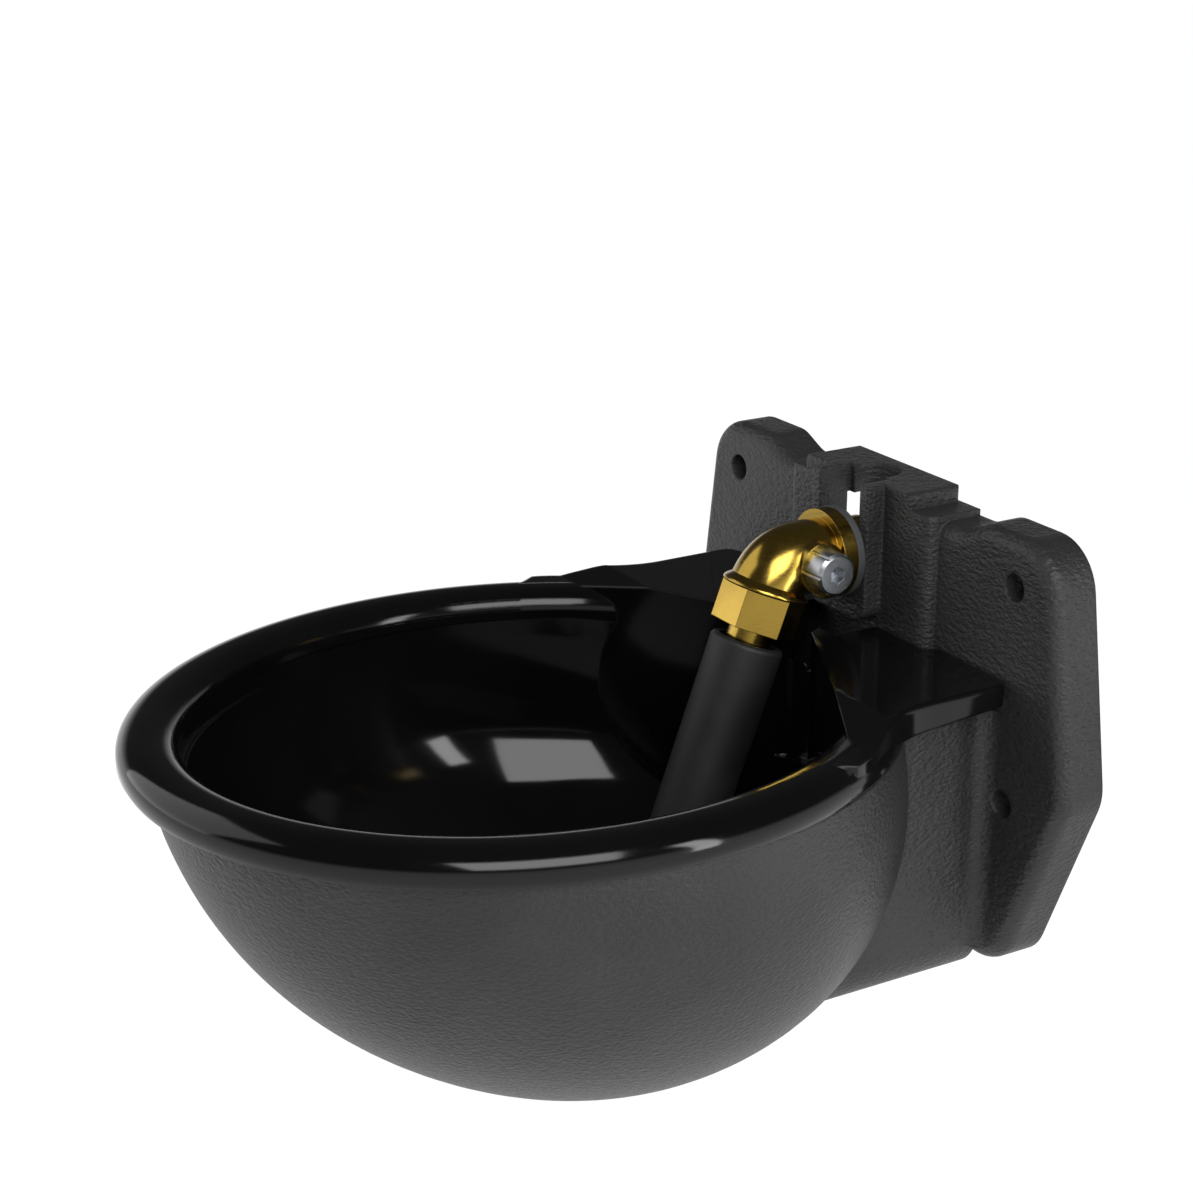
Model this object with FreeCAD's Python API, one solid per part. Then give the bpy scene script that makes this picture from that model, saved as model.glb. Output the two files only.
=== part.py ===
"""Heated livestock drinking bowl: a cast bowl over a moulded wall housing, with a tube valve.

Frame: the origin is the centre of the four wall bolts, on the wall. +X is to the right of
someone who faces the bowl, +Y goes into the wall and +Z is up. Everything is in millimetres.
"""
import FreeCAD, Part
import math
import os
from FreeCAD import Vector

# Wall flange of the housing, a shell that is open towards the wall
bolt_span = 150.0
bolt_rise = 71.0
bolt_hole_r = 4.5
bolt_boss_r = 10.0
flange_depth = 16.0
flange_half_top = 91.0
flange_half_wide = 103.0
flange_half_bottom = 76.0
flange_half_dip = 47.0
flange_half_rise = 58.0
flange_top = 51.0
flange_dip_z = 46.0
flange_wide_z = -27.0
flange_bottom = -93.0
flange_corner_r = 17.0
flange_edge_r = 5.0
flange_dip_r = 12.0
housing_wall = 4.5

# Tower in the middle of the flange, with the pad that the valve is clamped to
tower_half = 38.0
tower_top = 53.0
tower_shoulder_half = 28.0
tower_shoulder_drop = 5.0
tower_forward = 4.5
tower_edge_r = 4.0
crown_edge_r = 2.0
pad_half = 15.0
pad_forward = 6.5
pad_bottom = 7.0
pad_corner_r = 5.0
pipe_hole_r = 8.5
stub_axis_z = 28.0

# Cup of the housing: ovals of growing size, whose middles lean towards the wall lower down
cup_rim_z = -9.5
cup_rim_y = -142.4
cup_rim_half = 108.5
cup_stretch = 1.09
cup_floor_z = -136.0
cup_floor_y = -117.0
cup_low_half = 28.0
cup_low_rise = 6.0
cup_belly_half = 111.0
cup_belly_rise = 30.0
cup_start = 0.15

# Neck between the cup and the flange
neck_half = 66.0
neck_bottom = -100.0
neck_ledge_z = 1.0
neck_front_y = -50.0
neck_ramp = 11.0
neck_corner_r = 16.0
neck_root_y = -125.0
neck_cove_r = 6.0

# Bowl of cast iron, with its rolled rim and its two tabs over the neck
bowl_wall = 4.5
bowl_rim_y = -145.3
bowl_stretch = 1.12
bowl_top_z = -8.0
bowl_floor_z = -97.0
bowl_floor_y = -122.0
bowl_low_half = 58.0
bowl_low_rise = 4.5
bowl_belly_half = 101.0
bowl_belly_rise = 24.0
bowl_start = 0.08
rim_reach = 1.5
rim_width = 18.5
rim_flat = 1.0
rim_overhang = 13.5
rim_height = 10.6
rim_lip = 4.0
rim_lip_draw = 1.0
facet_side_x = 52.0
facet_side_y = -60.0
facet_mid_x = 9.0
facet_mid_y = -38.0
groove_r = 10.0
groove_back_y = -36.0
tab_thick = 4.7
tab_gap = 0.5
tab_side_x = 77.5
tab_side_y = -47.0
tab_tip_r = 6.0
tab_root_y = -88.0
tab_kink = 4.0
tab_skirt = 7.0
tab_tip_skirt = 2.0
tab_edge_r = 1.5
tab_ramp_y = -66.0
notch_clear = 1.0
notch_front_y = -39.0
boss_r = 11.0
boss_length = 12.0
seat_gap = 0.3

# Bolt that draws the bowl down on the housing
bolt_y = -128.0
bolt_r = 4.0
bolt_length = 35.0
bolt_head_flats = 13.0
bolt_head_height = 5.3
bolt_fit = 0.05
washer_r = 10.0
washer_thick = 1.6
floor_hole_r = 4.6
washer_margin = 4.0
pocket_margin = 6.0
washer_seat = 3.0

# Heating element: a bent tube that stands in the housing under and behind the bowl
heater_r = 2.8
heater_half = 42.0
heater_z = -94.5
heater_tip_y = -188.0
heater_rear_y = -34.0
heater_bend_r = 30.0
hairpin_r = 7.0
hairpin_top = -24.0
cold_end_z = -89.0
cold_bend_r = 10.0

# Terminal head that carries the element on the floor of the neck
head_half = 15.0
head_depth = 16.0
head_back_shift = 3.0
head_height = 12.5
head_edge_r = 2.5
ferrule_r = 4.6
ferrule_length = 7.0
head_screw_x = 9.0
head_screw_r = 1.6
head_screw_head_r = 3.0
head_screw_head = 2.0
head_screw_bite = 3.0
head_screw_fit = 0.05

# Thermostat on the floor of the neck
thermostat_x = 26.0
thermostat_y = -31.0
thermostat_r = 7.5
thermostat_height = 8.0
thermostat_rim_r = 9.0
thermostat_rim = 1.5
thermostat_tag_width = 4.8
thermostat_tag_height = 6.0

# Saddles in the cup that the front of the element rests on
saddle_y = -142.0
saddle_thick = 4.0
saddle_half = 6.0
saddle_lip = 2.0

# Cable gland in the floor of the neck
gland_x = -28.5
gland_y = -34.0
gland_thread_r = 8.0
gland_flange_r = 11.0
gland_flange = 5.0
gland_throat = 8.0
gland_bore_r = 4.5
gland_cap_r = 10.5
gland_cap_height = 11.0
gland_nut_flats = 21.0
gland_nut = 3.0
gland_seal_wall = 1.6

# Tube valve of brass
stub_r = 10.48
stub_length = 12.0
stub_clear = 0.35
collar_r = 14.8
collar_thick = 5.0
gasket_r = 15.0
gasket_thick = 2.5
elbow_r = 12.0
elbow_bend_r = 13.0
elbow_centre_reach = 22.5
tube_lean = 21.0
water_bore_r = 6.4
inlet_r = 7.8
inlet_depth = 9.0
hex_flats = 23.0
hex_end = 22.0
nipple_r = 7.5
nipple_end = 32.0
nipple_bore_r = 4.4
ball_r = 5.4
ball_reach = 17.0
seat_thick = 2.0
spring_r = 3.8
spring_wire_r = 0.45
spring_turns = 4.0
spring_steps = 10
spring_room = 10.0
spindle_r = 2.0

# Flow tube that the animal pushes
tube_start = 26.5
tube_length = 75.0
tube_top_r = 12.2
tube_low_r = 11.5
tube_wall = 2.6
tube_edge_r = 1.6
hub_r = 4.5
hub_at = 44.0
hub_height = 8.0
hub_rib = 2.0
spindle_nut_flats = 7.0
spindle_nut = 3.5

# Throttle screw in the side of the elbow
throttle_y_reach = 12.6
throttle_boss_r = 8.4
throttle_boss_x = 13.0
throttle_r = 4.15
throttle_fit = 0.05
throttle_length = 19.4
throttle_head_r = 7.0
throttle_head = 8.0
throttle_hole_r = 2.2
throttle_socket = 5.0
throttle_slot = 1.4
o_ring_r = 1.1

across_x = Vector(1, 0, 0)
across_y = Vector(0, 1, 0)
up = Vector(0, 0, 1)
down = Vector(0, 0, -1)


def rod(radius, length, start, direction):
    """Round bar from a start point along a direction."""
    return Part.makeCylinder(radius, length, start, direction)


def ring(outer, inner, length, start, direction):
    """Round bar with a hole along it."""
    return rod(outer, length, start, direction).cut(rod(inner, length, start, direction))


def block(x0, x1, y0, y1, z0, z1):
    """Square block between two corners."""
    return Part.makeBox(x1 - x0, y1 - y0, z1 - z0, Vector(x0, y0, z0))


def prism(points, along):
    """Closed polygon pushed along a vector."""
    wire = Part.makePolygon(points + [points[0]])
    return Part.Face(wire).extrude(along)


def mirrored(shape):
    """The same shape on the other side of the middle plane."""
    return shape.mirror(Vector(0, 0, 0), across_x)


def edges_along(shape, direction):
    """Straight edges of a shape that run along a direction."""
    found = []
    for edge in shape.Edges:
        if edge.Curve.TypeId != "Part::GeomLine":
            continue
        if edge.Curve.Direction.cross(direction).Length < 1e-6:
            found.append(edge)
    return found


def hexagon_bar(flats, length, start, direction):
    """Six-sided bar, measured across its flats."""
    points = []
    for step in range(6):
        angle = math.radians(60.0 * step)
        reach = flats / 2.0 / math.cos(math.radians(30.0))
        points.append(Vector(reach * math.cos(angle), reach * math.sin(angle), 0))
    bar = prism(points, Vector(0, 0, length))
    turn = FreeCAD.Rotation(up, direction)
    bar.Placement = FreeCAD.Placement(start, turn)
    return bar


def oval(half_x, half_y, middle_y, height):
    """Level ellipse as a wire."""
    centre = Vector(0, middle_y, height)
    if half_x > half_y:
        curve = Part.Ellipse(centre + Vector(half_x, 0, 0), centre + Vector(0, half_y, 0), centre)
    else:
        curve = Part.Ellipse(centre + Vector(0, half_y, 0), centre + Vector(-half_x, 0, 0), centre)
    return Part.Wire(curve.toShape())


def lofted(wires, banded=False):
    """Solid through a stack of wires, smooth or in straight bands."""
    return Part.makeLoft(wires, True, banded)


class Cup:
    """Oval vessel: a cubic curve from floor to rim, carried round ovals that lean with height."""

    def __init__(self, floor, low, belly, rim, middles, stretch, start):
        self.points = [floor, low, belly, rim]
        self.middles = middles
        self.stretch = stretch
        self.start = start

    def at(self, share):
        """Half width, height and outward normal of the side at a share of the curve."""
        rest = 1.0 - share
        weights = [rest ** 3, 3 * share * rest ** 2, 3 * share ** 2 * rest, share ** 3]
        slopes = [-rest ** 2, rest ** 2 - 2 * share * rest, 2 * share * rest - share ** 2, share ** 2]
        half = sum(w * p[0] for w, p in zip(weights, self.points))
        height = sum(w * p[1] for w, p in zip(weights, self.points))
        run = 3 * sum(s * p[0] for s, p in zip(slopes, self.points))
        rise = 3 * sum(s * p[1] for s, p in zip(slopes, self.points))
        size = math.hypot(run, rise)
        return half, height, rise / size, -run / size

    def middle(self, height):
        """Where the middle of the oval lies at a height."""
        floor_y, rim_y = self.middles
        share = (height - self.points[0][1]) / (self.points[3][1] - self.points[0][1])
        return floor_y + (rim_y - floor_y) * share

    def solid(self, inset, top):
        """Solid inside the side, moved in by an inset, up to a level top."""
        wires = []
        steps = 7
        for step in range(steps + 1):
            share = self.start + (1.0 - self.start) * step / steps
            half, height, out_x, out_z = self.at(share)
            middle_y = self.middle(height)
            half_x = half - inset * out_x
            half_y = half * self.stretch - inset * out_x
            level = height - inset * out_z
            wires.append(oval(half_x, half_y, middle_y, level))
        body = lofted(wires)
        if top > level:
            body = body.fuse(Part.Face(wires[-1]).extrude(Vector(0, 0, top - level)))
        return body


rim_half = cup_rim_half + rim_reach
bowl_top_half = rim_half - rim_overhang
housing_cup = Cup(
    (0.0, cup_floor_z),
    (cup_low_half, cup_floor_z + cup_low_rise),
    (cup_belly_half, cup_floor_z + cup_belly_rise),
    (cup_rim_half, cup_rim_z),
    (cup_floor_y, cup_rim_y),
    cup_stretch,
    cup_start,
)
bowl_cup = Cup(
    (0.0, bowl_floor_z),
    (bowl_low_half, bowl_floor_z + bowl_low_rise),
    (bowl_belly_half, bowl_floor_z + bowl_belly_rise),
    (bowl_top_half, bowl_top_z),
    (bowl_floor_y, bowl_rim_y),
    bowl_stretch,
    bowl_start,
)
cup_bottom_z = housing_cup.at(cup_start)[1]
bowl_bottom_z = bowl_cup.at(bowl_start)[1]
tower_face_y = -flange_depth - tower_forward
pad_face_y = tower_face_y - pad_forward
neck_floor_z = neck_bottom + housing_wall
bolt_places = [
    (-bolt_span / 2, -bolt_rise / 2),
    (bolt_span / 2, -bolt_rise / 2),
    (-bolt_span / 2, bolt_rise / 2),
    (bolt_span / 2, bolt_rise / 2),
]


def flange_block(inset, y0, y1):
    """Flange outline, moved in by an inset, between two depths."""
    top = flange_top - inset
    low = flange_bottom + inset
    corners = [
        (flange_half_dip - inset, flange_dip_z - inset),
        (flange_half_rise - inset, top),
        (flange_half_top - inset, top),
        (flange_half_wide - inset, flange_wide_z),
        (flange_half_bottom - inset * 0.6, low),
    ]
    points = [Vector(x, y0, z) for x, z in corners] + [Vector(-x, y0, z) for x, z in reversed(corners)]
    body = prism(points, Vector(0, y1 - y0, 0))
    for wave, radius in ((False, flange_corner_r - inset), (True, flange_dip_r)):
        chosen = []
        for edge in edges_along(body, across_y):
            place = edge.BoundBox.Center
            waved = abs(place.x) < flange_half_rise - inset + 0.5 and place.z > 0
            if waved == wave:
                chosen.append(edge)
        body = body.makeFillet(radius, chosen)
    return body


def neck_side(inset, half, bottom, y0, y1):
    """Neck between two depths, with its front ramp and rounded lower corners."""
    body = block(-half, half, y0, y1, bottom, neck_ledge_z)
    low = [e for e in edges_along(body, across_y) if e.BoundBox.ZMax < bottom + 1]
    body = body.makeFillet(neck_corner_r - inset, low)
    ramp = prism(
        [
            Vector(-half, y0 - 1, cup_rim_z),
            Vector(-half, neck_front_y - neck_ramp, cup_rim_z),
            Vector(-half, neck_front_y, neck_ledge_z),
            Vector(-half, neck_front_y, neck_ledge_z + 1),
            Vector(-half, y0 - 1, neck_ledge_z + 1),
        ],
        Vector(2 * half, 0, 0),
    )
    return body.cut(ramp)


def neck_coves():
    """Hollow fillets where the sides of the neck meet the front of the flange."""
    face = -flange_depth
    reach = neck_cove_r
    corner_z = neck_bottom + neck_corner_r
    length = neck_ledge_z - tab_skirt - corner_z
    profile = block(neck_half - 1, neck_half + reach, face - reach, face + 1, corner_z, corner_z + length)
    hollow = rod(reach, length, Vector(neck_half + reach, face - reach, corner_z), up)
    straight = profile.cut(hollow)
    foot = min(straight.Faces, key=lambda item: item.CenterOfMass.z)
    turned = foot.revolve(Vector(neck_half - neck_corner_r, 0, corner_z), across_y, 60.0)
    cove = straight.fuse(turned).common(flange_block(flange_edge_r, face - 2 * reach, face + 1))
    return [cove, mirrored(cove)]


def tower_block():
    """Tower with its lower shoulders and the valve pad on its front."""
    shoulder_z = tower_top - tower_shoulder_drop
    body = block(-tower_half, tower_half, tower_face_y, 0, neck_ledge_z - housing_wall, shoulder_z)
    body = body.makeFillet(tower_edge_r, [e for e in edges_along(body, up)
                                          if e.BoundBox.YMax < tower_face_y + 1])
    crown = block(
        -tower_shoulder_half, tower_shoulder_half, tower_face_y, 0, shoulder_z - 1, tower_top
    )
    crown = crown.makeFillet(crown_edge_r, edges_along(crown, across_y)
                             + [e for e in edges_along(crown, up) if e.BoundBox.YMin > -1])
    pad = block(-pad_half, pad_half, pad_face_y, tower_face_y + 1, pad_bottom, tower_top)
    low = [e for e in edges_along(pad, across_y) if e.BoundBox.ZMax < pad_bottom + 1]
    pad = pad.makeFillet(pad_corner_r, low)
    return body.fuse([crown, pad])


def make_saddles():
    """Two ribs on the floor of the cup that carry the element."""
    saddles = []
    inside = housing_cup.solid(housing_wall / 2, neck_ledge_z)
    for side in (-1, 1):
        x = side * heater_half
        rib = block(x - saddle_half, x + saddle_half, saddle_y - saddle_thick / 2,
                    saddle_y + saddle_thick / 2, cup_floor_z, heater_z - heater_r + saddle_lip)
        saddles.append(rib.common(inside))
    return saddles


def head_screw_rods(radius):
    """Shanks of the two screws that hold the terminal head down."""
    low = neck_floor_z - head_screw_bite
    length = head_height + head_screw_bite
    y = head_middle_y()
    return [rod(radius, length, Vector(side * head_screw_x, y + head_back_shift, low), up)
            for side in (-1, 1)]


def make_housing():
    """Moulded housing: cup, neck, flange and tower in one shell."""
    outer = housing_cup.solid(0.0, cup_rim_z)
    neck = neck_side(0.0, neck_half, neck_bottom, neck_root_y, -flange_depth + 1)
    flange = flange_block(0.0, -flange_depth, 0.0)
    front = [e for e in flange.Edges if e.BoundBox.YMax < -flange_depth + 0.01]
    flange = flange.makeFillet(flange_edge_r, front)
    body = outer.fuse([neck, flange, tower_block()] + neck_coves())

    cavity = housing_cup.solid(housing_wall, neck_ledge_z + 1)
    neck_hollow = neck_side(
        housing_wall,
        neck_half - housing_wall,
        neck_floor_z,
        neck_root_y,
        tower_face_y - housing_wall + tower_forward,
    )
    lid_gap = block(
        -neck_half + housing_wall, neck_half - housing_wall, neck_front_y, tower_face_y,
        neck_ledge_z - 1, neck_ledge_z + 1,
    )
    lid_gap = lid_gap.cut(block(-neck_half, neck_half, tower_face_y - housing_wall + tower_forward,
                                0, neck_ledge_z - 2, neck_ledge_z + 2))
    body = body.cut(cavity.fuse(neck_hollow)).cut(lid_gap)

    back = flange_block(housing_wall, -flange_depth + housing_wall, 1.0)
    tower_hollow = block(
        -tower_half + housing_wall,
        tower_half - housing_wall,
        tower_face_y + housing_wall,
        1.0,
        pad_bottom,
        tower_top - tower_shoulder_drop - housing_wall,
    )
    body = body.cut(back.fuse(tower_hollow))

    bosses = []
    holes = []
    for x, z in bolt_places:
        bosses.append(rod(bolt_boss_r, flange_depth - housing_wall / 2,
                          Vector(x, -flange_depth + housing_wall / 2, z), across_y))
        holes.append(rod(bolt_hole_r, flange_depth + 2, Vector(x, -flange_depth - 1, z), across_y))
    for x in (-neck_half + housing_wall / 2, neck_half - housing_wall / 2):
        bosses.append(block(x - housing_wall / 2, x + housing_wall / 2, -flange_depth + housing_wall / 2,
                            -housing_wall, flange_bottom + housing_wall / 2, flange_top - housing_wall / 2))
    body = body.fuse(bosses)
    slot_r = stub_r + stub_clear
    holes.append(rod(slot_r, 40, Vector(0, pad_face_y - 1, stub_axis_z), across_y))
    holes.append(block(-slot_r, slot_r, pad_face_y - 1, tower_face_y + housing_wall + 1,
                       stub_axis_z, tower_top + 1))
    holes.append(rod(pipe_hole_r, 30, Vector(0, -pipe_hole_r - housing_wall, tower_top - 20), up))
    holes.append(rod(floor_hole_r, 60, Vector(0, bolt_y, cup_bottom_z - 10), up))
    holes.append(rod(gland_thread_r + seat_gap, 40, Vector(gland_x, gland_y, neck_bottom - 20), up))
    holes.extend(head_screw_rods(head_screw_r + head_screw_fit))
    body = body.fuse(make_saddles())
    # Grooves for the element, across the saddles and where its legs leave the floor of the neck
    holes.append(element_tube(heater_r + seat_gap))
    seat = rod(washer_r + washer_margin, housing_wall + washer_seat, Vector(0, bolt_y, cup_bottom_z), up)
    pocket = rod(washer_r + pocket_margin, 30, Vector(0, bolt_y, cup_bottom_z - 30), up)
    return body.fuse(seat).cut(pocket).cut(Part.makeCompound(holes))


def facet_region(inset):
    """Space in front of the two flats behind the bowl, moved forward by an inset."""
    run = facet_side_x - facet_mid_x
    rise = facet_mid_y - facet_side_y
    shift = inset * math.hypot(run, rise) / run
    slope = rise / run
    peak = facet_mid_y + slope * facet_mid_x - shift
    reach = 140.0
    points = [
        Vector(0, peak, -150),
        Vector(-reach, peak - slope * reach, -150),
        Vector(-reach, -400, -150),
        Vector(reach, -400, -150),
        Vector(reach, peak - slope * reach, -150),
    ]
    return prism(points, Vector(0, 0, 250))


def rim_solid(insets):
    """Stack of ovals for one side of the rolled rim, given as insets and heights."""
    wires = []
    half_y = rim_half * bowl_stretch
    for inset, height in insets:
        wires.append(oval(rim_half - inset, half_y - inset, bowl_rim_y, height))
    return lofted(wires, True)


def rolled(edge, side, crown, top, low):
    """Insets and heights of a quarter roll, from the edge at the side up to the crown."""
    places = [(edge, low)]
    steps = 5
    for step in range(steps + 1):
        turn = math.radians(90.0 * step / steps)
        inset = crown + (edge - crown) * math.cos(turn)
        places.append((inset, side + (top - side) * math.sin(turn)))
    return places


def rim_x(y, inset):
    """Half width of the rim's oval at a depth, moved in by an inset."""
    half = rim_half - inset
    half_y = rim_half * bowl_stretch - inset
    return half * math.sqrt(1.0 - ((y - bowl_rim_y) / half_y) ** 2)


def tab_plan(z0, z1):
    """Both tabs and the ground between them, before the notch is cut."""
    back = tower_face_y - tab_gap
    wing = -flange_depth - tab_gap
    inside = tab_root_y - rim_width
    swing = tab_root_y - tab_side_y
    side = Vector(tab_side_x, tab_side_y, z0)
    root = Vector(rim_x(tab_root_y, rim_lip_draw), tab_root_y, z0)
    into = Vector(rim_x(inside, rim_width), inside, z0)
    sweep = Part.BSplineCurve()
    sweep.interpolate([side, root], Tangents=[Vector(0, swing, 0), Vector(-0.3 * swing, swing, 0)],
                      TangentFlags=[True, True])
    corners = [
        into,
        Vector(0, inside, z0),
        Vector(0, back, z0),
        Vector(tower_half + tab_gap, back, z0),
        Vector(tower_half + tab_kink, wing, z0),
        Vector(tab_side_x - tab_tip_r, wing, z0),
    ]
    nook = tab_tip_r * (1 - math.sqrt(0.5))
    middle = Vector(tab_side_x - nook, wing - nook, z0)
    tip_end = Vector(tab_side_x, wing - tab_tip_r, z0)
    edges = [sweep.toShape(), Part.LineSegment(root, into).toShape()]
    edges += [Part.LineSegment(a, b).toShape() for a, b in zip(corners, corners[1:])]
    edges += [Part.Arc(corners[-1], middle, tip_end).toShape(), Part.LineSegment(tip_end, side).toShape()]
    half = Part.Face(Part.Wire(Part.__sortEdges__(edges))).extrude(Vector(0, 0, z1 - z0))
    return half.fuse(mirrored(half)).removeSplitter()


def make_bowl():
    """Cast bowl: wall, rolled rim, flats at the back, tabs, notch and bolt boss."""
    low = cup_rim_z
    top = low + rim_height
    crown_out = (rim_width - rim_flat) / 2
    crown_in = crown_out + rim_flat
    rim_outer = rim_solid([(rim_lip_draw, low)] + rolled(0.0, low + rim_lip, crown_out, top, low + rim_lip / 2))
    shell = bowl_cup.solid(0.0, low + 1).common(facet_region(0.0))
    rim_inner = rim_solid(rolled(rim_width, low + rim_lip, crown_in, top, low - rim_lip))
    tabs_low = neck_ledge_z
    plate = tab_plan(tabs_low, tabs_low + tab_thick)
    plate = plate.makeFillet(tab_edge_r, [e for e in plate.Edges
                                          if e.BoundBox.ZMin > tabs_low + tab_thick - 0.01])
    far = 200.0
    ramp_end = tab_root_y - rim_width
    plate = plate.cut(prism(
        [
            Vector(-far, tab_ramp_y, tabs_low + tab_thick + 0.01),
            Vector(-far, ramp_end - 1, low),
            Vector(-far, ramp_end - 1, tabs_low + tab_thick + 1),
            Vector(-far, tab_ramp_y, tabs_low + tab_thick + 1),
        ],
        Vector(2 * far, 0, 0),
    ))
    skirt = tab_plan(tabs_low - tab_skirt, tabs_low)
    slope = (tab_skirt - tab_tip_skirt) / (-flange_depth - tab_root_y)
    skirt = skirt.cut(prism(
        [
            Vector(-far, tab_root_y, tabs_low - tab_skirt - 0.1),
            Vector(-far, 0, tabs_low - tab_skirt - 0.1),
            Vector(-far, 0, tabs_low - tab_skirt + slope * -tab_root_y),
        ],
        Vector(2 * far, 0, 0),
    ))
    body = shell.fuse([rim_outer, plate, skirt])
    body = body.fuse(rod(boss_r, boss_length + bowl_wall / 2,
                         Vector(0, bolt_y, bowl_bottom_z - boss_length), up))

    hollow = bowl_cup.solid(bowl_wall, low + 1).fuse(rim_inner)
    above = 2 * tab_thick
    hollow = hollow.fuse(rim_solid([(crown_in, top), (crown_in, top + above)]))
    hollow = hollow.common(facet_region(bowl_wall))
    groove = rod(groove_r, 60, Vector(0, groove_back_y - groove_r, low - 35), up)
    body = body.cut(hollow.fuse(groove))

    clear = seat_gap
    half = pad_half + notch_clear
    notch = block(-half, half, notch_front_y, 0, low - 1, top + above)
    neck_room = block(-neck_half - clear, neck_half + clear, neck_front_y - neck_ramp - 2, 10,
                      low - 1, neck_ledge_z)
    inner_half = neck_half - housing_wall - clear
    neck_core = block(-inner_half, inner_half, -200, tower_face_y - housing_wall - 2,
                      low - 2, neck_ledge_z)
    body = body.cut(neck_room.cut(neck_core)).cut(notch)
    bolt_tip = cup_bottom_z - washer_thick + bolt_length
    boss_end = bowl_bottom_z - boss_length
    bore = rod(bolt_r + bolt_fit, bolt_tip + 2 - boss_end, Vector(0, bolt_y, boss_end - 1), up)
    return body.cut(bore)


def tangent_path(points, radii):
    """Wire of straight runs with a round bend of its own radius at each inner point."""
    edges = []
    last = points[0]
    for index in range(1, len(points) - 1):
        corner = points[index]
        before = (corner - points[index - 1]).normalize()
        after = (points[index + 1] - corner).normalize()
        turn = before.getAngle(after)
        trim = radii[index - 1] * math.tan(turn / 2)
        start = corner - before * trim
        end = corner + after * trim
        inward = (after - before).normalize()
        centre = corner + inward * (radii[index - 1] / math.cos(turn / 2))
        middle = centre - inward * radii[index - 1]
        if (start - last).Length > 1e-4:
            edges.append(Part.LineSegment(last, start).toShape())
        edges.append(Part.Arc(start, middle, end).toShape())
        last = end
    edges.append(Part.LineSegment(last, points[-1]).toShape())
    return Part.Wire(edges)


def swept_round(path, radius):
    """Round section carried along a path."""
    start = path.Edges[0]
    begin = start.valueAt(start.FirstParameter)
    heading = start.tangentAt(start.FirstParameter)
    section = Part.Wire(Part.Circle(begin, heading, radius).toShape())
    return path.makePipe(Part.Face(section))


def element_tube(radius):
    """Tube of a given radius from cold end to cold end through loop and hairpins."""
    rear = heater_rear_y
    front = rear - 2 * hairpin_r
    head = head_half + ferrule_length - 2
    half_path = [
        Vector(head, front, cold_end_z),
        Vector(heater_half, front, cold_end_z),
        Vector(heater_half, front, hairpin_top),
        Vector(heater_half, rear, hairpin_top),
        Vector(heater_half, rear, heater_z),
        Vector(heater_half, heater_tip_y, heater_z),
    ]
    half_radii = [cold_bend_r, hairpin_r, hairpin_r, heater_bend_r, heater_half]
    other = [Vector(-p.x, p.y, p.z) for p in reversed(half_path)]
    path = tangent_path(half_path + other, half_radii + list(reversed(half_radii)))
    return swept_round(path, radius)


def head_middle_y():
    """Depth of the terminal head, in line with the cold ends."""
    return heater_rear_y - 2 * hairpin_r


def make_terminal_head():
    """Potted block that carries the cold ends, screwed to the floor of the neck."""
    y = head_middle_y()
    low = head_back_shift - head_depth / 2
    floor = neck_floor_z
    body = block(-head_half, head_half, y + low, y + low + head_depth, floor, floor + head_height)
    body = body.makeFillet(head_edge_r, edges_along(body, up))
    for side in (-1, 1):
        start = Vector(side * (head_half - ferrule_length / 2), y, cold_end_z)
        body = body.cut(rod(ferrule_r, ferrule_length, start, Vector(side, 0, 0)))
    return body.cut(Part.makeCompound(head_screw_rods(head_screw_r)))


def make_head_screws():
    """Two pan-head screws through the terminal head."""
    screws = []
    top = neck_floor_z + head_height
    for shank in head_screw_rods(head_screw_r):
        middle = shank.BoundBox.Center
        place = Vector(middle.x, middle.y, top)
        head = rod(head_screw_head_r, head_screw_head, place, up)
        head = head.makeFillet(head_screw_head / 3, [e for e in head.Edges
                                                     if e.BoundBox.ZMin > top + head_screw_head - 0.01])
        slot = block(-0.4, 0.4, -head_screw_head_r, head_screw_head_r, 0, 1)
        slot.translate(place + Vector(0, 0, head_screw_head / 2))
        screws.append(shank.fuse(head).cut(slot))
    return Part.makeCompound(screws)


def make_ferrules():
    """Two sleeves where the cold ends enter the terminal head."""
    y = head_middle_y()
    sleeves = []
    for side in (-1, 1):
        start = Vector(side * (head_half - ferrule_length / 2), y, cold_end_z)
        sleeve = rod(ferrule_r, ferrule_length * 1.5, start, Vector(side, 0, 0))
        bite = rod(heater_r, 20, Vector(side * (head_half + ferrule_length - 2), y, cold_end_z),
                   Vector(side, 0, 0))
        sleeves.append(sleeve.cut(bite))
    return Part.makeCompound(sleeves)


def make_thermostat():
    """Round thermostat with a flange and two flat terminals, on the floor of the neck."""
    place = Vector(thermostat_x, thermostat_y, neck_floor_z)
    body = rod(thermostat_rim_r, thermostat_rim, place, up)
    body = body.fuse(rod(thermostat_r, thermostat_height, place, up))
    for side in (-1, 1):
        tag = block(-thermostat_tag_width / 2, thermostat_tag_width / 2, -0.4, 0.4,
                    thermostat_height - 1, thermostat_height + thermostat_tag_height)
        tag.translate(place + Vector(0, side * thermostat_r / 2, 0))
        body = body.fuse(tag)
    return body


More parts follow.
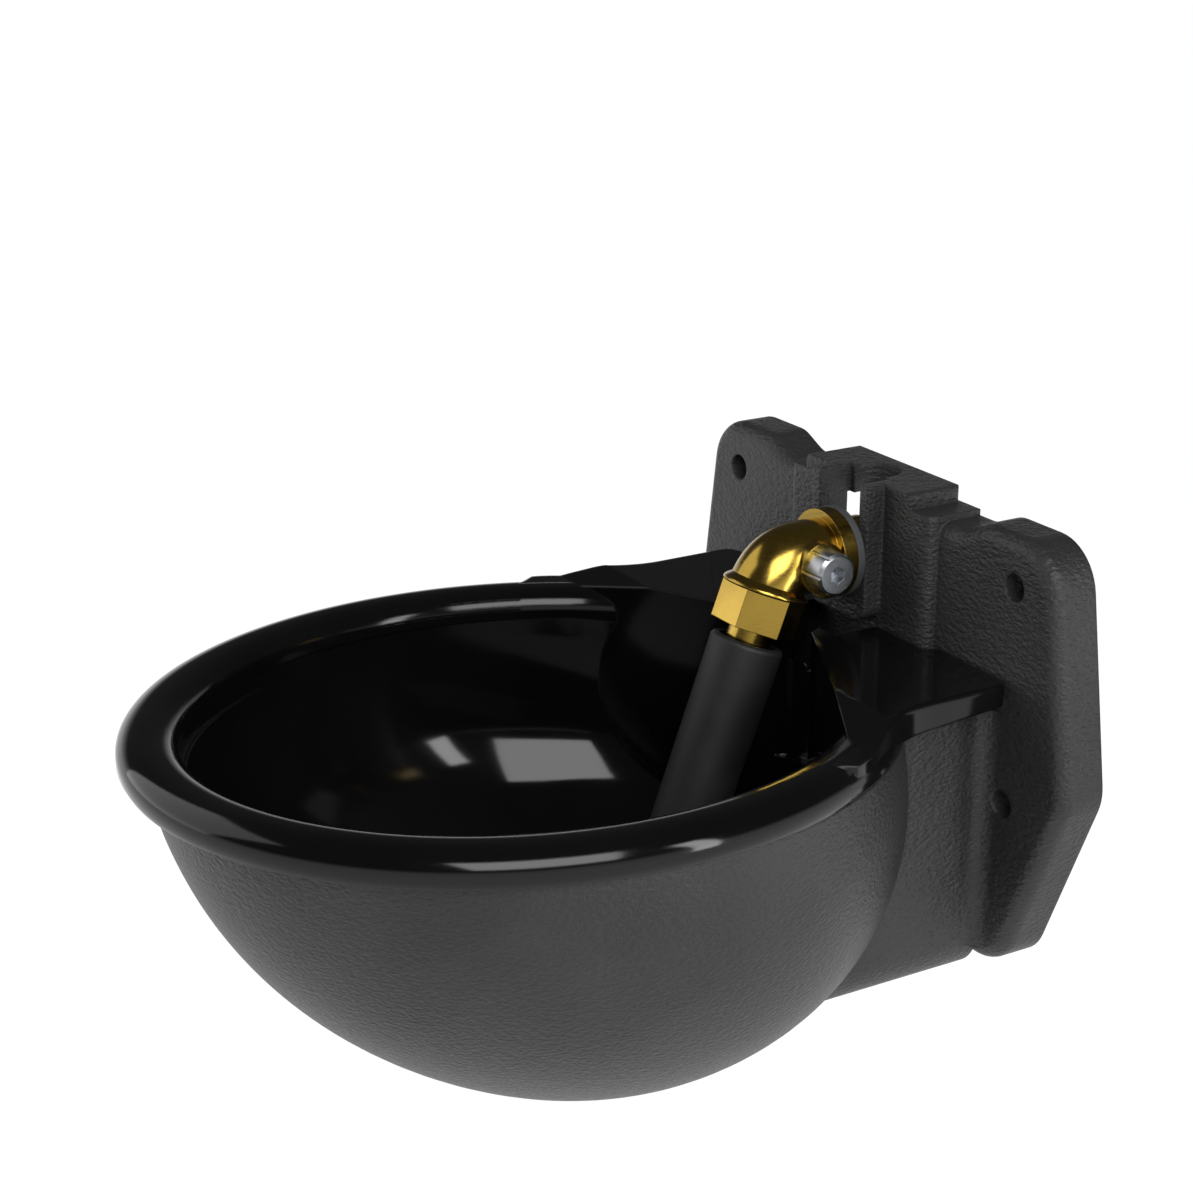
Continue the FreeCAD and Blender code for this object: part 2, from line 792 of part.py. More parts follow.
def make_gland():
    """Cable gland: body, sealing ring, cap and the nut inside the neck."""
    shoulder = Vector(gland_x, gland_y, neck_bottom)
    body = hexagon_bar(gland_flange_r * 2 * 0.95, gland_flange, shoulder, down)
    throat_top = neck_floor_z + gland_nut + 2
    body = body.fuse(rod(gland_thread_r, throat_top - neck_bottom + gland_flange / 2,
                         shoulder - Vector(0, 0, gland_flange / 2), up))
    low = shoulder - Vector(0, 0, gland_flange)
    body = body.fuse(rod(gland_thread_r, gland_throat, low, down))
    body = body.cut(rod(gland_bore_r + gland_seal_wall, 60, low - Vector(0, 0, 20), up))
    nut = hexagon_bar(gland_nut_flats, gland_nut, Vector(gland_x, gland_y, neck_floor_z), up)
    nut = nut.cut(rod(gland_thread_r, 20, Vector(gland_x, gland_y, neck_floor_z - 5), up))
    seal = ring(gland_bore_r + gland_seal_wall, gland_bore_r, gland_throat, low, down)
    cap = rod(gland_cap_r, gland_cap_height, low, down)
    cap = cap.cut(rod(gland_thread_r, gland_throat, low, down))
    cap = cap.cut(rod(gland_bore_r, 30, low, down))
    for step in range(8):
        angle = math.radians(45.0 * step)
        place = low + Vector(gland_cap_r * math.cos(angle), gland_cap_r * math.sin(angle), 0)
        cap = cap.cut(rod(1.2, gland_cap_height, place, down))
    return body, nut, seal, cap


def make_bolt():
    """Hexagon bolt from below, and its washer."""
    washer_top = Vector(0, bolt_y, cup_bottom_z)
    washer = ring(washer_r, floor_hole_r - 0.2, washer_thick, washer_top, down)
    bearing = washer_top - Vector(0, 0, washer_thick)
    head = hexagon_bar(bolt_head_flats, bolt_head_height, bearing, down)
    dome = Part.makeCone(bolt_head_flats / 2 * 1.16, bolt_head_flats / 2 * 0.95,
                         bolt_head_height, bearing, down)
    head = head.common(dome)
    return head.fuse(rod(bolt_r, bolt_length, bearing, up)), washer


stub_end_y = pad_face_y + stub_length - gasket_thick
collar_back_y = pad_face_y - gasket_thick
elbow_centre = Vector(0, collar_back_y - elbow_centre_reach, stub_axis_z)
lean = math.radians(tube_lean)
tube_way = Vector(0, -math.sin(lean), -math.cos(lean))


def along_tube(distance):
    """Point on the axis of the tube, measured from the corner of the elbow."""
    return elbow_centre + tube_way * distance


def elbow_path(reach_back, reach_down):
    """Centre line of the elbow from behind to below."""
    back = elbow_centre + across_y * reach_back
    return tangent_path([back, elbow_centre, along_tube(reach_down)], [elbow_bend_r])


def throttle_start():
    """Where the throttle screw's axis crosses the water way."""
    return Vector(0, collar_back_y - throttle_y_reach, stub_axis_z)


def make_elbow():
    """Brass elbow with its threaded stub, collar, side boss and hexagon."""
    back_reach = collar_back_y - elbow_centre.y
    body = swept_round(elbow_path(back_reach, hex_end - 6), elbow_r)
    body = body.fuse(rod(collar_r, collar_thick, Vector(0, collar_back_y, stub_axis_z), -across_y))
    stub = rod(stub_r, stub_length + 1, Vector(0, collar_back_y - 1, stub_axis_z), across_y)
    tip = [e for e in stub.Edges if e.BoundBox.YMin > collar_back_y + stub_length - 1.01]
    body = body.fuse(stub.makeChamfer(1.0, tip))
    bend_end = elbow_bend_r * math.tan((math.pi / 2 - lean) / 2)
    hexagon = hexagon_bar(hex_flats, hex_end - bend_end, along_tube(bend_end), tube_way)
    body = body.fuse(hexagon)
    boss = rod(throttle_boss_r, throttle_boss_x, throttle_start(), across_x)
    body = body.fuse(boss)
    water = swept_round(elbow_path(back_reach + stub_length + 1, ball_reach + 3), water_bore_r)
    inlet = rod(inlet_r, inlet_depth + 1, Vector(0, stub_end_y + 1, stub_axis_z), -across_y)
    body = body.cut(water).cut(inlet)
    body = body.cut(rod(nipple_r, nipple_end, along_tube(ball_reach + 1), tube_way))
    reach = throttle_length - throttle_boss_x + seat_gap
    side = rod(throttle_r + throttle_fit, 40, throttle_start() - across_x * reach, across_x)
    groove = rod(throttle_r + 2 * o_ring_r, 2 * o_ring_r,
                 throttle_start() + across_x * (throttle_boss_x - 2 * o_ring_r), across_x)
    return body.cut(side).cut(groove)


def make_nipple():
    """Seat nipple below the elbow, with the bore that the spindle leans in."""
    start = ball_reach + 1
    body = rod(nipple_r, nipple_end - start, along_tube(start), tube_way)
    body = body.cut(rod(nipple_bore_r, nipple_end, along_tube(start - 1), tube_way))
    seat = rod(nipple_r - 1.2, seat_thick + 1.2, along_tube(start), tube_way)
    return body.cut(seat)


def make_seat_ring():
    """Rubber ring that the ball of the spindle closes on."""
    start = ball_reach + 1
    body = ring(nipple_r - 1.2, nipple_bore_r - 0.6, seat_thick + 1.2, along_tube(start), tube_way)
    return body.cut(Part.makeSphere(ball_r + 0.02, along_tube(ball_reach)))


def make_spindle():
    """Ball and rod that tilt with the tube."""
    body = Part.makeSphere(ball_r, along_tube(ball_reach))
    rod_end = tube_start + hub_at + hub_height + spindle_nut
    return body.fuse(rod(spindle_r, rod_end - ball_reach, along_tube(ball_reach), tube_way))


def make_spring():
    """Coil spring that holds the ball on its seat."""
    top = ball_reach - spring_room
    inner = spring_r - spring_wire_r
    length = spring_room - math.sqrt(ball_r ** 2 - inner ** 2) - 2 * spring_wire_r
    points = []
    steps = int(spring_turns * spring_steps)
    for step in range(steps + 1):
        angle = 2 * math.pi * step / spring_steps
        points.append(Vector(spring_r * math.cos(angle), spring_r * math.sin(angle), length * step / steps))
    heading = points[1] - points[0]
    section = hexagon_bar(2 * spring_wire_r, 1.0, points[0], heading.normalize())
    section = min(section.Faces, key=lambda face: (face.CenterOfMass - points[0]).Length)
    coil = Part.makePolygon(points).makePipeShell([section.OuterWire], True, False, 1)
    coil.Placement = FreeCAD.Placement(along_tube(top), FreeCAD.Rotation(up, tube_way))
    return coil


def make_flow_tube():
    """Tapered tube, open below, with the ribbed hub that grips the spindle."""
    top = along_tube(tube_start)
    outer = Part.makeCone(tube_top_r, tube_low_r, tube_length, top, tube_way)
    rim = [e for e in outer.Edges if (e.BoundBox.Center - top).Length < 0.5]
    outer = outer.makeFillet(tube_edge_r, rim)
    inner = Part.makeCone(tube_top_r - tube_wall, tube_low_r - tube_wall, tube_length, top, tube_way)
    body = outer.cut(inner)
    hub_start = along_tube(tube_start + hub_at)
    hub = rod(hub_r, hub_height, hub_start, tube_way)
    ribs = []
    for step in range(3):
        rib = block(0, tube_low_r - tube_wall / 2, -hub_rib / 2, hub_rib / 2, 0, hub_height)
        rib.rotate(Vector(0, 0, 0), up, 120.0 * step + 90.0)
        rib.Placement = FreeCAD.Placement(hub_start, FreeCAD.Rotation(up, tube_way)).multiply(rib.Placement)
        ribs.append(rib)
    body = body.fuse([hub] + ribs)
    return body.cut(rod(spindle_r, hub_height + 1, hub_start, tube_way))


def make_spindle_nut():
    """Nut that holds the hub of the tube on the spindle."""
    start = along_tube(tube_start + hub_at + hub_height)
    nut = hexagon_bar(spindle_nut_flats, spindle_nut, start, tube_way)
    return nut.cut(rod(spindle_r, spindle_nut * 3, start - tube_way * spindle_nut, tube_way))


def make_throttle():
    """Throttle screw with its cross hole, socket and slots, and its sealing ring."""
    face = throttle_start() + across_x * throttle_boss_x
    body = rod(throttle_r, throttle_length, face, -across_x)
    head = rod(throttle_head_r, throttle_head, face, across_x)
    outer = [e for e in head.Edges if e.BoundBox.XMin > face.x + throttle_head - 0.01]
    head = head.makeChamfer(1.0, outer)
    head = head.cut(hexagon_bar(throttle_socket, 4.0, face + across_x * throttle_head, -across_x))
    for step in range(6):
        angle = math.radians(60.0 * step)
        place = face + Vector(0, throttle_head_r * math.cos(angle), throttle_head_r * math.sin(angle))
        head = head.cut(rod(throttle_slot / 2, throttle_head, place, across_x))
    body = body.fuse(head)
    cross = rod(throttle_hole_r, 20, throttle_start() - across_y * 10, across_y)
    groove = Part.makeTorus(throttle_r + o_ring_r, o_ring_r,
                            face - across_x * o_ring_r, across_x)
    body = body.cut(cross)
    return body, groove


def make_gasket():
    """Flat washer between collar and pad."""
    return ring(gasket_r, stub_r, gasket_thick, Vector(0, collar_back_y, stub_axis_z), across_y)


gland_body, gland_nut_piece, gland_seal, gland_cap = make_gland()
fixing_bolt, bolt_washer = make_bolt()
throttle_screw, throttle_o_ring = make_throttle()
pieces = {
    "housing": make_housing(),
    "gland_body": gland_body,
    "gland_locknut": gland_nut_piece,
    "gland_seal": gland_seal,
    "gland_cap": gland_cap,
    "bowl": make_bowl(),
    "heater_element": element_tube(heater_r),
    "terminal_head": make_terminal_head(),
    "heater_ferrules": make_ferrules(),
    "thermostat": make_thermostat(),
    "head_screws": make_head_screws(),
    "fixing_bolt": fixing_bolt,
    "bolt_washer": bolt_washer,
    "valve_elbow": make_elbow(),
    "seat_nipple": make_nipple(),
    "seat_ring": make_seat_ring(),
    "valve_spring": make_spring(),
    "valve_spindle": make_spindle(),
    "flow_tube": make_flow_tube(),
    "spindle_nut": make_spindle_nut(),
    "throttle_screw": throttle_screw,
    "throttle_o_ring": throttle_o_ring,
    "valve_gasket": make_gasket(),
}
os.makedirs("parts", exist_ok=True)
for name, shape in pieces.items():
    print(name, len(shape.Solids), shape.isValid(), round(shape.Volume / 1000.0, 2))
    shape.exportStep("parts/" + name + ".step")
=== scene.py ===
"""Finishes, stage and light for a heated livestock drinking bowl, laid out as an add-on.

Each operator dresses one group of pieces. Lengths are in metres and the frame is the CAD's: the
origin is the middle of the four wall bolts, +X is right of someone facing the bowl, +Y goes into the
wall and +Z is up.
"""
import math

import bpy
import numpy as np
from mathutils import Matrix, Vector


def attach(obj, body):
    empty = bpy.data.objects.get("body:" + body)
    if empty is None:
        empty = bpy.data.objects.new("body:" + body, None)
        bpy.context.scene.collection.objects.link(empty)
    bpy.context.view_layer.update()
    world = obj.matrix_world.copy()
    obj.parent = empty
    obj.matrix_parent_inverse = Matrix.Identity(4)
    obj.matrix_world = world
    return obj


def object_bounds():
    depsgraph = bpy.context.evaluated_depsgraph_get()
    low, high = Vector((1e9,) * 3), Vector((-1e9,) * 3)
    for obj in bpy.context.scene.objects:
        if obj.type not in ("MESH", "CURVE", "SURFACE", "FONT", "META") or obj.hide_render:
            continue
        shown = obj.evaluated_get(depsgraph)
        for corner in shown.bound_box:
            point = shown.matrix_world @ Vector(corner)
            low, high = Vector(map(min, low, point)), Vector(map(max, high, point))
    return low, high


bl_info = {
    "name": "Drinking Bowl Dresser",
    "version": (1, 0, 0),
    "blender": (4, 5, 0),
    "location": "View3D > Sidebar > Bowl",
    "description": "Finishes and studio for a wall-hung drinking bowl with a tube valve",
    "category": "Object",
}

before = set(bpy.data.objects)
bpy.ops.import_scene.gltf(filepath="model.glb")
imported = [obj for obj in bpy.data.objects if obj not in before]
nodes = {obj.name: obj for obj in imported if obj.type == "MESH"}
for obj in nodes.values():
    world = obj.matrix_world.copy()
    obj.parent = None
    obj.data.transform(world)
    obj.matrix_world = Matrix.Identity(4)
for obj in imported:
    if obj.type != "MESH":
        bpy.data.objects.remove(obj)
cad_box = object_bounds()
MM = 0.001
NOISE = "ShaderNodeTexNoise"
RANGE = "ShaderNodeMapRange"
BUMP = "ShaderNodeBump"
GLAZE_MM = 0.01
QUARTER = math.pi / 2
RIM_ROWS, RIM_STEPS = 240, 14
LIP_ROWS, LIP_STEPS = 96, 12
FLOOR_TINT = (0.92, 0.92, 0.92, 1.0)
FLOOR_GLOW, GLOW_SHARE = 1.1, 0.86
WHITE = (1.0, 1.0, 1.0, 1.0)
LAMP_TARGET = (0.0, -0.13, -0.02)
STRIP_SHARE = 0.6


def linear(hex_colour):
    """An sRGB hex colour as linear red, green, blue and alpha."""
    values = [int(hex_colour[i:i + 2], 16) / 255.0 for i in (1, 3, 5)]
    curve = [v / 12.92 if v <= 0.04045 else ((v + 0.055) / 1.055) ** 2.4 for v in values]
    return (*curve, 1.0)


def add_node(tree, kind, settings=None, inputs=None, links=None):
    """Adds a shader node with its properties, socket values and links.

    A link comes from a socket, or from a node by its first output.
    """
    node = tree.nodes.new(kind)
    for name, value in (settings or {}).items():
        setattr(node, name, value)
    for name, value in (inputs or {}).items():
        node.inputs[name].default_value = value
    for name, source in (links or {}).items():
        socket = source.outputs[0] if isinstance(source, bpy.types.Node) else source
        tree.links.new(socket, node.inputs[name])
    return node


def lumps(size_mm, detail=2.0, roughness=0.5):
    """Values for noise whose lumps are about a size in millimetres."""
    return {"Scale": 1.0 / (size_mm * MM), "Detail": detail, "Roughness": roughness}


def between(low, high, start=0.3, end=0.7):
    """Values that carry the middle range of a pattern onto another range."""
    return {"From Min": start, "From Max": end, "To Min": low, "To Max": high}


def new_material(name):
    """An empty node material, with its tree, its object coordinates and its output."""
    made = bpy.data.materials.new(name)
    made.use_nodes = True
    tree = made.node_tree
    tree.nodes.clear()
    place = add_node(tree, "ShaderNodeTexCoord").outputs["Object"]
    output = add_node(tree, "ShaderNodeOutputMaterial")
    return made, tree, place, output


def mottled(tree, pattern, dark, light):
    """Colour that drifts between two sRGB hex tones as a pattern does.

    In a Mix node for colours, socket 0 is the share, 6 and 7 are the two colours, and output 2 is the
    mixed colour.
    """
    share = add_node(tree, RANGE, inputs=between(0.0, 1.0), links={"Value": pattern})
    mix = add_node(tree, "ShaderNodeMix", {"data_type": "RGBA"}, {6: linear(dark), 7: linear(light)},
                   {0: share})
    return mix.outputs[2]


def relief(tree, height, depth_mm, edge_mm):
    """Normals of a surface whose edges are softly rounded and which carries a pattern of a depth."""
    edge = add_node(tree, "ShaderNodeBevel", {"samples": 6}, {"Radius": edge_mm * MM})
    return add_node(tree, BUMP, inputs={"Distance": depth_mm * MM, "Strength": 1.0},
                    links={"Height": height, "Normal": edge})


def close_material(tree, output, values, links):
    """Joins a principled shader to the output of a material."""
    shader = add_node(tree, "ShaderNodeBsdfPrincipled", inputs=values, links=links)
    tree.links.new(shader.outputs["BSDF"], output.inputs["Surface"])


def textured_polyethylene(sizes):
    """Rotomoulded polyethylene: a leathery grain about as coarse as orange peel, with a waxy sheen.

    The lumps of the grain are wider than they are tall.
    """
    made, tree, place, output = new_material("textured_polyethylene")
    wide = add_node(tree, "ShaderNodeMapping", inputs={"Scale": (1.0, 1.0, 1.7)}, links={"Vector": place})
    grain = add_node(tree, NOISE, inputs=lumps(sizes.grain_mm, 2.5, 0.55), links={"Vector": wide})
    fine = add_node(tree, NOISE, inputs=lumps(sizes.grain_mm / 3), links={"Vector": place})
    patch = add_node(tree, NOISE, inputs=lumps(45.0, detail=3.0), links={"Vector": place})
    colour = mottled(tree, patch, sizes.housing_dark, sizes.housing_light)
    rough = add_node(tree, RANGE, inputs=between(0.36, 0.5), links={"Value": fine})
    raised = add_node(tree, RANGE, inputs=between(0.0, 1.0), links={"Value": grain})
    skin = relief(tree, fine, depth_mm=0.03, edge_mm=1.6)
    normal = add_node(tree, BUMP, inputs={"Distance": sizes.grain_depth_mm * MM, "Strength": 1.0},
                      links={"Height": raised, "Normal": skin})
    close_material(tree, output, {"Specular IOR Level": 0.32, "IOR": 1.5},
                   {"Base Color": colour, "Roughness": rough, "Normal": normal})
    return made


def black_enamel(sizes):
    """Fired vitreous enamel: almost black, mirror smooth, with a slow ripple under the glaze."""
    made, tree, place, output = new_material("black_vitreous_enamel")
    ripple = add_node(tree, NOISE, inputs=lumps(34.0, detail=1.0), links={"Vector": place})
    dust = add_node(tree, NOISE, inputs=lumps(70.0), links={"Vector": place})
    colour = mottled(tree, dust, sizes.enamel, sizes.enamel_haze)
    rough = add_node(tree, RANGE, inputs=between(0.06, 0.12), links={"Value": dust})
    normal = relief(tree, ripple, depth_mm=0.05, edge_mm=1.2)
    close_material(tree, output, {"Specular IOR Level": 0.3, "IOR": 1.5},
                   {"Base Color": colour, "Roughness": rough, "Normal": normal})
    return made


def sheathed_element(sizes):
    """Oxidised stainless sheath: grey-black, smooth, with long soft reflections along the tube."""
    made, tree, place, output = new_material("oxidised_stainless_sheath")
    heat = add_node(tree, NOISE, inputs=lumps(18.0), links={"Vector": place})
    cloud = add_node(tree, NOISE, inputs=lumps(7.0, detail=1.0), links={"Vector": place})
    colour = mottled(tree, heat, sizes.heater_dark, sizes.heater)
    rough = add_node(tree, RANGE, inputs=between(0.24, 0.32), links={"Value": cloud})
    close_material(tree, output, {"Metallic": 0.75}, {"Base Color": colour, "Roughness": rough})
    return made


def polished_brass(sizes):
    """Brass with a tooled finish: warm yellow, bright, combed by fine lines.

    Real tool marks are about 0.2 mm apart. They are drawn at 0.8 mm, so that they show.
    """
    made, tree, place, output = new_material("tooled_brass")
    lines = add_node(tree, "ShaderNodeMapping", links={"Vector": place},
                     inputs={"Rotation": (0.5, 0.0, 0.0), "Scale": (0.35, 0.35, 2.2)})
    comb = add_node(tree, NOISE, inputs=lumps(0.8), links={"Vector": lines})
    tarnish = add_node(tree, NOISE, inputs=lumps(22.0), links={"Vector": place})
    colour = mottled(tree, tarnish, sizes.brass_dark, sizes.brass_light)
    rough = add_node(tree, RANGE, inputs=between(0.16, 0.24), links={"Value": comb})
    normal = relief(tree, comb, depth_mm=0.012, edge_mm=0.35)
    close_material(tree, output, {"Metallic": 1.0},
                   {"Base Color": colour, "Roughness": rough, "Normal": normal})
    return made


def moulded_polymer(name, tones, shine, grain_mm, depth_mm):
    """Moulded polymer or rubber: two close tones, a range of roughness and a fine grain."""
    made, tree, place, output = new_material(name)
    grain = add_node(tree, NOISE, inputs=lumps(grain_mm), links={"Vector": place})
    patch = add_node(tree, NOISE, inputs=lumps(16.0, detail=3.0), links={"Vector": place})
    colour = mottled(tree, patch, *tones)
    rough = add_node(tree, RANGE, inputs=between(*shine), links={"Value": patch})
    normal = relief(tree, grain, depth_mm, edge_mm=0.3)
    close_material(tree, output, {"Specular IOR Level": 0.4},
                   {"Base Color": colour, "Roughness": rough, "Normal": normal})
    return made


def turned_metal(name, tones, shine, pitch_mm):
    """Bar metal from a lathe: fine tool marks and a satin shine.

    Real marks are about 0.1 mm apart, and they are drawn coarser, so that they show.
    """
    made, tree, place, output = new_material(name)
    marks = add_node(tree, NOISE, inputs=lumps(pitch_mm), links={"Vector": place})
    patch = add_node(tree, NOISE, inputs=lumps(9.0, detail=3.0), links={"Vector": place})
    colour = mottled(tree, patch, *tones)
    rough = add_node(tree, RANGE, inputs=between(*shine), links={"Value": marks})
    normal = relief(tree, marks, depth_mm=0.0012, edge_mm=0.25)
    close_material(tree, output, {"Metallic": 1.0},
                   {"Base Color": colour, "Roughness": rough, "Normal": normal})
    return made


def grid_mesh(name, points, closed=False):
    """Mesh of quads from a grid of points, whose last row joins its first when it is closed."""
    rows, columns = points.shape[:2]
    index = np.arange(rows * columns).reshape(rows, columns)
    if closed:
        index = np.vstack([index, index[:1]])
    quads = np.stack([index[:-1, :-1], index[1:, :-1], index[1:, 1:], index[:-1, 1:]], axis=-1)
    mesh = bpy.data.meshes.new(name)
    mesh.from_pydata(points.reshape(-1, 3).tolist(), [], quads.reshape(-1, 4).tolist())
    mesh.shade_smooth()
    made = bpy.data.objects.new(name, mesh)
    bpy.context.scene.collection.objects.link(made)
    return made


def dress(names, made):
    """Gives the named CAD nodes one material."""
    for name in names:
        piece = nodes[name]
        piece.data.materials.clear()
        piece.data.materials.append(made)


def rolled_rim(sizes):
    """Smooth glaze over the front of the rolled rim.

    The profile is two quarter ellipses, from the outer lip up to the crown and down to the inner lip,
    joined by a short flat. It is carried round an oval: each point lies at the oval's half width and
    half depth less the profile's inset, times the cosine and sine of the angle. It stands over the
    CAD's rim by the thickness of the glaze.
    """
    turn = np.linspace(0.0, QUARTER, RIM_STEPS)
    crown_out = (sizes.width - sizes.flat) / 2
    crown_in = crown_out + sizes.flat
    top = sizes.low + sizes.height
    side = sizes.low + sizes.lip
    lip_out = np.array([sizes.draw, 0.0])
    drop = np.array([sizes.low, sizes.low + sizes.lip / 2])
    outer_inset = crown_out * (1 - np.cos(turn))
    outer_height = side + (top - side) * np.sin(turn)
    back = turn[::-1]
    inner_inset = crown_in + (sizes.width - crown_in) * np.cos(back)
    inner_height = side + (top - side) * np.sin(back)
    inset = np.concatenate([lip_out, outer_inset, inner_inset]) - GLAZE_MM
    height = np.concatenate([drop, outer_height, inner_height]) + GLAZE_MM
    end = math.asin((sizes.end_y - sizes.middle_y) / (sizes.half * sizes.stretch))
    angle = np.linspace(math.pi - end, 2 * math.pi + end, RIM_ROWS)[:, None]
    points = np.stack([
        (sizes.half - inset) * np.cos(angle),
        sizes.middle_y + (sizes.half * sizes.stretch - inset) * np.sin(angle),
        np.broadcast_to(height, (angle.shape[0], height.shape[0])),
    ], axis=-1) * MM
    return grid_mesh("rim_glaze", points)


def about_tube(sizes, count, along, radius):
    """Grid of points, in metres, that turns a profile about the tube's axis in a count of steps.

    The profile's lengths start at the end of the bend, where the axis leaves the arc.
    """
    lean = math.radians(sizes.lean)
    way = np.array([0.0, -math.sin(lean), -math.cos(lean)])
    beside = np.array([1.0, 0.0, 0.0])
    across = np.cross(way, beside)
    reach = sizes.bend_r * math.tan((QUARTER - lean) / 2)
    end = np.array(sizes.corner) + way * reach
    angle = np.linspace(0.0, 2 * math.pi, count, endpoint=False)[:, None, None]
    spoke = np.cos(angle) * beside + np.sin(angle) * across
    return (end + along[:, None] * way + radius[:, None] * spoke) * MM


def bend_lip(sizes):
    """Flared end of the cast bend, where it overhangs the top of the hexagon.

    Along the tube's axis the radius swells over a quarter of a squared sine, turns in over a quarter
    circle and ends in a flat face. That profile is turned about the axis.
    """
    turn = np.linspace(0.0, QUARTER, LIP_STEPS)
    swell = sizes.low_r + (sizes.lip_r - sizes.low_r) * np.sin(turn) ** 2
    edge = sizes.lip_r - sizes.edge * (1 - np.cos(turn[1:]))
    along = np.concatenate([sizes.span * (turn / turn[-1] - 1), sizes.edge * np.sin(turn[1:]), [sizes.edge]])
    radius = np.concatenate([swell, edge, [sizes.low_r]])
    return grid_mesh("bend_lip", about_tube(sizes, LIP_ROWS, along, radius), closed=True)


def hexagon_skin(sizes):
    """Six plain flats over the wrench hexagon, and the ring that closes it towards the nipple.

    The outline is six points at the corner radius, which is the half width over flats divided by the
    cosine of 30 degrees. It is carried along the tube's axis and then drawn in to the nipple.
    """
    corner = sizes.flats / 2 / math.cos(math.pi / 6)
    along = np.array([0.0, sizes.hexagon, sizes.hexagon])
    radius = np.array([corner, corner, sizes.nipple_r])
    made = grid_mesh("hexagon_skin", about_tube(sizes, 6, along, radius), closed=True)
    made.data.shade_flat()
    return made


class RimSettings(bpy.types.PropertyGroup):
    """Sizes of the rolled rim in millimetres, as the CAD has them."""

    half: bpy.props.FloatProperty(name="Half width", description="Half width of the rim", default=110.0)
    stretch: bpy.props.FloatProperty(name="Stretch", description="Depth over width of the oval", default=1.12)
    middle_y: bpy.props.FloatProperty(name="Middle", description="Depth of the oval's middle", default=-145.3)
    width: bpy.props.FloatProperty(name="Width", description="Width of the roll", default=18.5)
    flat: bpy.props.FloatProperty(name="Flat", description="Flat on the crown", default=1.0)
    height: bpy.props.FloatProperty(name="Height", description="Height of the roll", default=10.6)
    low: bpy.props.FloatProperty(name="Low edge", description="Height of the lower edge", default=-9.5)
    lip: bpy.props.FloatProperty(name="Lip", description="Straight part under the roll", default=4.0)
    draw: bpy.props.FloatProperty(name="Draw", description="How far the lip's foot draws in", default=1.0)
    end_y: bpy.props.FloatProperty(name="End", description="Depth where the glaze ends", default=-92.0)


class BendSettings(bpy.types.PropertyGroup):
    """Sizes of the end of the brass bend and of its hexagon, in millimetres and degrees."""

    corner: bpy.props.FloatVectorProperty(name="Corner", description="Where the two axes meet",
                                          default=(0.0, -52.0, 28.0))
    lean: bpy.props.FloatProperty(name="Lean", description="Lean of the tube", default=21.0)
    bend_r: bpy.props.FloatProperty(name="Bend", description="Radius of the bend's middle line", default=13.0)
    span: bpy.props.FloatProperty(name="Span", description="Length of the flare", default=4.0)
    low_r: bpy.props.FloatProperty(name="Start radius", description="Radius inside the bend", default=11.0)
    lip_r: bpy.props.FloatProperty(name="Lip radius", description="Radius over the hexagon", default=14.2)
    edge: bpy.props.FloatProperty(name="Edge", description="Rounding of the lip", default=0.7)
    flats: bpy.props.FloatProperty(name="Flats", description="Hexagon over its flats", default=24.2)
    hexagon: bpy.props.FloatProperty(name="Hexagon", description="Length of the hexagon", default=13.15)
    nipple_r: bpy.props.FloatProperty(name="Nipple", description="Radius of the nipple", default=7.4)


class FinishSettings(bpy.types.PropertyGroup):
    """Colours and grain of the finishes."""

    grain_mm: bpy.props.FloatProperty(name="Grain", description="Size of the housing's grain in mm",
                                      default=1.9, min=0.5, max=10.0)
    grain_depth_mm: bpy.props.FloatProperty(name="Grain depth", description="Depth of the grain in mm",
                                            default=0.32, min=0.0, max=1.0)
    housing_dark: bpy.props.StringProperty(name="Housing dark", description="sRGB hex", default="#222223")
    housing_light: bpy.props.StringProperty(name="Housing light", description="sRGB hex", default="#2C2C2D")
    enamel: bpy.props.StringProperty(name="Enamel", description="sRGB hex", default="#050505")
    enamel_haze: bpy.props.StringProperty(name="Enamel haze", description="sRGB hex", default="#0A0A0B")
    heater_dark: bpy.props.StringProperty(name="Element dark", description="sRGB hex", default="#2B2C2D")
    heater: bpy.props.StringProperty(name="Element", description="sRGB hex", default="#454749")
    brass_dark: bpy.props.StringProperty(name="Brass dark", description="sRGB hex", default="#8A7030")
    brass_light: bpy.props.StringProperty(name="Brass light", description="sRGB hex", default="#A68A3E")


class StageSettings(bpy.types.PropertyGroup):
    """Camera, floor and lamps."""

    eye: bpy.props.FloatVectorProperty(name="Eye", description="Where the camera stands",
                                       default=(0.6025, -0.4691, 0.2741), subtype="TRANSLATION")
    gaze: bpy.props.FloatVectorProperty(name="Gaze", description="Where the camera looks",
                                        default=(-0.8147, 0.4749, -0.3326), subtype="DIRECTION")
    lens: bpy.props.FloatProperty(name="Lens", description="Focal length in mm", default=72.6)
    floor_drop: bpy.props.FloatProperty(name="Floor drop", description="Gap under the object",
                                        default=0.06, unit="LENGTH")
    key_power: bpy.props.FloatProperty(name="Key power", description="Watts of the main lamp", default=12.0)
    fill_power: bpy.props.FloatProperty(name="Fill power", description="Watts of the fill lamp", default=5.5)
    floor_half: bpy.props.FloatProperty(name="Floor", description="Half width of the floor", default=6.0,
                                        unit="LENGTH")


class BOWL_OT_housing(bpy.types.Operator):
    """Gives the housing its textured polyethylene"""

    bl_idname = "bowl.housing"
    bl_label = "Housing"

    def execute(self, context):
        dress(["housing"], textured_polyethylene(context.scene.bowl_finish))
        return {"FINISHED"}


